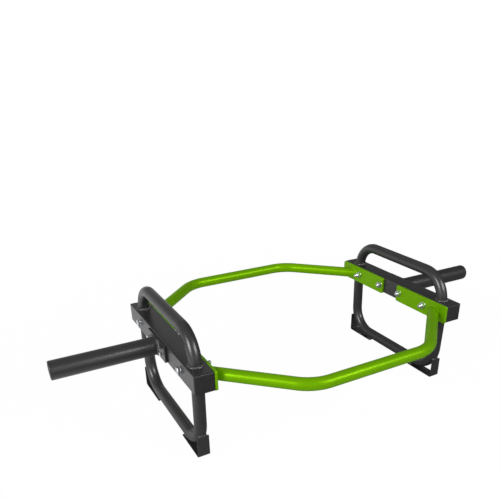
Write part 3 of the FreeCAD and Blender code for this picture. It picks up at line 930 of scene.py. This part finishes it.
def angle_foot():
    """Flat bar bent to an angle, with rounded corners at both ends and eased edges.

    point(row, column) = line + a * RIGHT + b * side; near an end, at distance e from it, the width
    is drawn in by r - sqrt(r^2 - (r - e)^2), with the corner's radius r, and so is the thickness,
    with the edge's.
    """
    half_thick = foot_thickness / 2
    half_wide = (foot_high[0] - foot_low[0]) / 2
    x = beam_middle[0]
    line_y = foot_high[1] - half_thick
    corners = [(x, foot_low[1], half_thick), (x, line_y, half_thick), (x, line_y, foot_high[2])]
    points, directions = bent_line(corners, foot_bend_radius + half_thick)[:2]
    lengths = np.linalg.norm(np.diff(points, axis=0), axis=1)
    travel = np.concatenate([[0.0], np.cumsum(lengths)])
    near = foot_corner_radius * (1 - np.cos(np.linspace(0, math.pi / 2, foot_corner_rows)))
    near = np.concatenate([near, [foot_corner_radius + support]])
    stations = np.unique(np.concatenate([near, travel[-1] - near, travel[1:-1]]))
    line = np.stack([np.interp(stations, travel, points[:, axis]) for axis in range(3)], -1)
    way = np.stack([np.interp(stations, travel, directions[:, axis]) for axis in range(3)], -1)
    end_gap = np.minimum(stations, travel[-1] - stations)

    def drawn_in(radius):
        short = np.maximum(radius - end_gap, 0.0)
        return radius - np.sqrt(radius**2 - short**2)

    edge = np.full(len(stations), foot_edge_round)
    wide = half_wide - drawn_in(foot_corner_radius)
    thick = half_thick - drawn_in(foot_edge_round)
    a, b, on_corner = rounded_outline(wide, thick, edge)
    side = np.cross(RIGHT, way)
    grid = line[:, None] + a[..., None] * RIGHT + b[..., None] * side[:, None]
    at_end = (end_gap < foot_edge_round).astype(float)
    return shell(grid, np.maximum(at_end[:, None], on_corner[None, :] * foot_edge_rim))


def hexagon_tube():
    """Rear tube of the hexagon: a straight run between two bends, slanted ends on the plates."""
    mirror = np.array([-1, 1, 1])
    corners = [hexagon_entry * mirror, hexagon_corner * mirror, hexagon_corner, hexagon_entry]
    reach = mount_face_x + sink
    return bent_tube(corners, hexagon_bend_radius, UP, cut_axis=0, cut_places=(-reach, reach))


def handle():
    """Bent tube that stands on the beam's top face with its leaning legs."""
    x = beam_middle[0]
    foot_z = beam_high[2] - sink
    top_y = handle_leg_y - handle_height * math.tan(handle_lean)
    foot_y = handle_leg_y + sink * math.tan(handle_lean)
    rear = [(x, top_y, handle_axis_z), (x, foot_y, foot_z)]
    front = [(x, -foot_y, foot_z), (x, -top_y, handle_axis_z)]
    ends = (foot_z, foot_z)
    return bent_tube(front + rear, handle_bend_radius, RIGHT, cut_axis=2, cut_places=ends)


def stand():
    """Bent tube that carries the beam, its leaning legs cut level with the beam's underside."""
    x = beam_middle[0]
    top_z = beam_low[2] + sink
    rear = [(x, stand_base_y, stand_axis_z), (x, stand_top_y, beam_low[2])]
    front = [(x, -stand_top_y, beam_low[2]), (x, -stand_base_y, stand_axis_z)]
    ends = (top_z, top_z)
    return bent_tube(front + rear, stand_bend_radius, RIGHT, cut_axis=2, cut_places=ends)


def leg_beads(leg_y, z, rear_up):
    """Beads of the front and the rear leg of one bent tube."""
    return [leg_bead(way * leg_y, z, rear_up * (1, way, 1)) for way in (-1, 1)]


def build_hexagon():
    """Both hexagon tubes with their mount plates and welds."""
    tube = [hexagon_tube()]
    make_piece("rear_hexagon_tube", tube, SIDES["right"], "hexagon_coat")
    make_piece("front_hexagon_tube", tube, SIDES["left"], "hexagon_coat")
    mount = [plate(mount_plate_low, mount_plate_high, mount_plate_corner_radius)]
    at_four_corners("mount_plate", mount, "hexagon_coat")
    at_four_corners("hexagon_weld", [hexagon_bead()], "hexagon_coat")


def build_end_frames():
    """Beams, handles, stands, feet and sleeves, with their welds and caps."""
    rising = np.array([0.0, -math.sin(handle_lean), math.cos(handle_lean)])
    falling = np.array([0.0, -math.sin(stand_lean), -math.cos(stand_lean)])
    coated = {
        "beam": [cross_beam()],
        "handle": [handle()],
        "handle_welds": leg_beads(handle_leg_y, beam_high[2], rising),
        "stand": [stand()],
        "stand_welds": leg_beads(stand_top_y, beam_low[2], falling),
        "sleeve": [plate_sleeve()],
        "sleeve_plate": [plate(sleeve_plate_low, sleeve_plate_high, sleeve_plate_corner_radius)],
        "sleeve_weld": [sleeve_bead()],
    }
    for name, shells in coated.items():
        at_both_ends(name, shells, "frame_coat")
    at_both_ends("sleeve_cap", [sleeve_cap()], "cap_plastic")
    at_four_corners("beam_cap", [beam_cap()], "cap_plastic")
    at_four_corners("foot", [angle_foot()], "frame_coat")
    at_four_corners("foot_welds", foot_beads(), "frame_coat")


def build_bolts():
    """Bolts, washers and lock nuts, four at each end."""
    turned = list(zip(bolt_places_y, bolt_turns_deg))
    hardware = {
        "bolts": [bolt(y, turn) for y, turn in turned],
        "lock_nuts": [lock_nut(y, nut_turns_per_bolt_turn * turn) for y, turn in turned],
        "head_washers": [washer(head_seat_x(y), y, 1) for y in bolt_places_y],
        "nut_washers": [washer(mount_face_x, y, -1) for y in bolt_places_y],
    }
    for name, shells in hardware.items():
        at_both_ends(name, shells, "zinc_hardware")


# Studio: floor, background and softboxes
floor_half = 14.0
floor_gap = 0.0003
floor_colour = (0.9, 0.9, 0.9, 1.0)
floor_white_share = 0.98
floor_fade = (0.9, 1.8)
floor_bright_way = (-0.8, 0.6, 0.0)
floor_bright_span = (0.05, 0.65)
floor_bright_glow = 0.82
floor_dim_glow = 0.12
ambient_light = 0.36
ambient_lean = 0.98
horizon_glow = 0.65
overhead_glow = 0.27
horizon_band = (0.06, 0.42)
right_band = (0.3, 0.66)
right_share = 0.3
softboxes = {
    "left_softbox": {"place": (-4.8, -1.8, 2.85), "size": (1.8, 2.5), "watts": 190.0},
    "front_softbox": {"place": (1.55, -3.1, 2.45), "size": (2.1, 1.4), "watts": 88.0},
}


def seen_rays(tree):
    """One for rays from the camera, gloss and glass, else nought; and the same for the camera's."""
    path = tree.nodes.new("ShaderNodeLightPath")
    names = ("Is Camera Ray", "Is Glossy Ray", "Is Transmission Ray")
    camera, glossy, clear = (Value(tree, path.outputs[name]) for name in names)
    return camera.at_least(glossy).at_least(clear), camera


def make_floor():
    """Pale floor: white to the eye but for the bar's soft shadow, and lit like paper elsewhere.

    In gloss it is bright behind the bar's left end and dim before it.
    """
    signs = ((-1, -1), (1, -1), (1, 1), (-1, 1))
    corners = [(floor_half * x, floor_half * y, -floor_gap) for x, y in signs]
    mesh = bpy.data.meshes.new("floor")
    mesh.from_pydata(corners, [], [(0, 1, 2, 3)])
    floor = bpy.data.objects.new("floor", mesh)
    bpy.context.scene.collection.objects.link(floor)
    material, tree, shader = new_material("pale_floor")
    tree.feed(shader, {"Base Color": floor_colour, "Roughness": 1.0, "Specular IOR Level": 0.0})
    place = tree.node("ShaderNodeTexCoord", output="Object")
    far = tree.node("ShaderNodeVectorMath", {"operation": "LENGTH"}, {0: place}, "Value")
    ways = {0: place, 1: floor_bright_way}
    along = tree.node("ShaderNodeVectorMath", {"operation": "DOT_PRODUCT"}, ways, "Value")
    white, bright, dim = (
        tree.node("ShaderNodeEmission", {}, {"Color": WHITE, "Strength": level})
        for level in (1.0, floor_bright_glow, floor_dim_glow)
    )
    seen, camera = seen_rays(tree)
    shine = tree.step(along, *floor_bright_span)
    in_gloss = tree.node("ShaderNodeMixShader", {}, {0: shine, 1: dim, 2: bright})
    glow = tree.node("ShaderNodeMixShader", {}, {0: camera, 1: in_gloss, 2: white})
    share = seen * (floor_white_share + tree.step(far, *floor_fade) * (1 - floor_white_share))
    paper = Value(tree, shader.outputs[0])
    surface = tree.node("ShaderNodeMixShader", {}, {0: share, 1: paper, 2: glow})
    tree.feed(material.node_tree.nodes["Material Output"], {"Surface": surface})
    mesh.materials.append(material)


def make_world():
    """White background to the eye.

    In gloss it glows at the horizon and is dimmer overhead and to the right; else it gives soft
    light, most of it from the left.
    """
    world = bpy.data.worlds.new("studio")
    world.use_nodes = True
    bpy.context.scene.world = world
    tree = Tree(world.node_tree)
    seen, camera = seen_rays(tree)
    way = tree.node("ShaderNodeTexCoord", output="Generated")
    across, height = (tree.node("ShaderNodeSeparateXYZ", {}, {0: way}, axis) for axis in "XZ")
    glow = horizon_glow - tree.step(height, *horizon_band) * (horizon_glow - overhead_glow)
    glow = glow * (1 - tree.step(across, *right_band) * (1 - right_share))
    soft = ambient_light * (1 - across * ambient_lean)
    strength = camera + (seen - camera) * glow + (1 - seen) * soft
    tree.feed(world.node_tree.nodes["Background"], {"Color": WHITE, "Strength": strength})


def make_softboxes():
    """Softboxes, wide and high as their sizes say, that face the middle of the bar."""
    low, high = cad_box
    middle = (low + high) / 2
    for name, box in softboxes.items():
        light = bpy.data.lights.new(name, "AREA")
        light.shape = "RECTANGLE"
        light.size, light.size_y = box["size"]
        light.energy = box["watts"]
        lamp = bpy.data.objects.new(name, light)
        lamp.location = box["place"]
        lamp.rotation_euler = (middle - Vector(box["place"])).to_track_quat("-Z", "Y").to_euler()
        bpy.context.scene.collection.objects.link(lamp)


def make_camera():
    """Camera at the eye's place, turned about Z, tipped down and rolled a little about its line."""
    data = bpy.data.cameras.new("camera")
    data.lens = lens_mm
    data.sensor_width = sensor_mm
    data.sensor_fit = "HORIZONTAL"
    data.shift_x, data.shift_y = frame_shift
    camera = bpy.data.objects.new("camera", data)
    turn = Matrix.Rotation(math.radians(look_turn_deg), 4, "Z")
    tip = Matrix.Rotation(math.radians(90 - look_down_deg), 4, "X")
    roll = Matrix.Rotation(math.radians(look_roll_deg), 4, "Z")
    camera.matrix_world = Matrix.Translation(eye_place) @ turn @ tip @ roll
    bpy.context.scene.collection.objects.link(camera)
    bpy.context.scene.camera = camera


make_camera()
build_hexagon()
build_end_frames()
build_bolts()
make_floor()
make_world()
make_softboxes()
bpy.context.scene.view_settings.view_transform = "Standard"
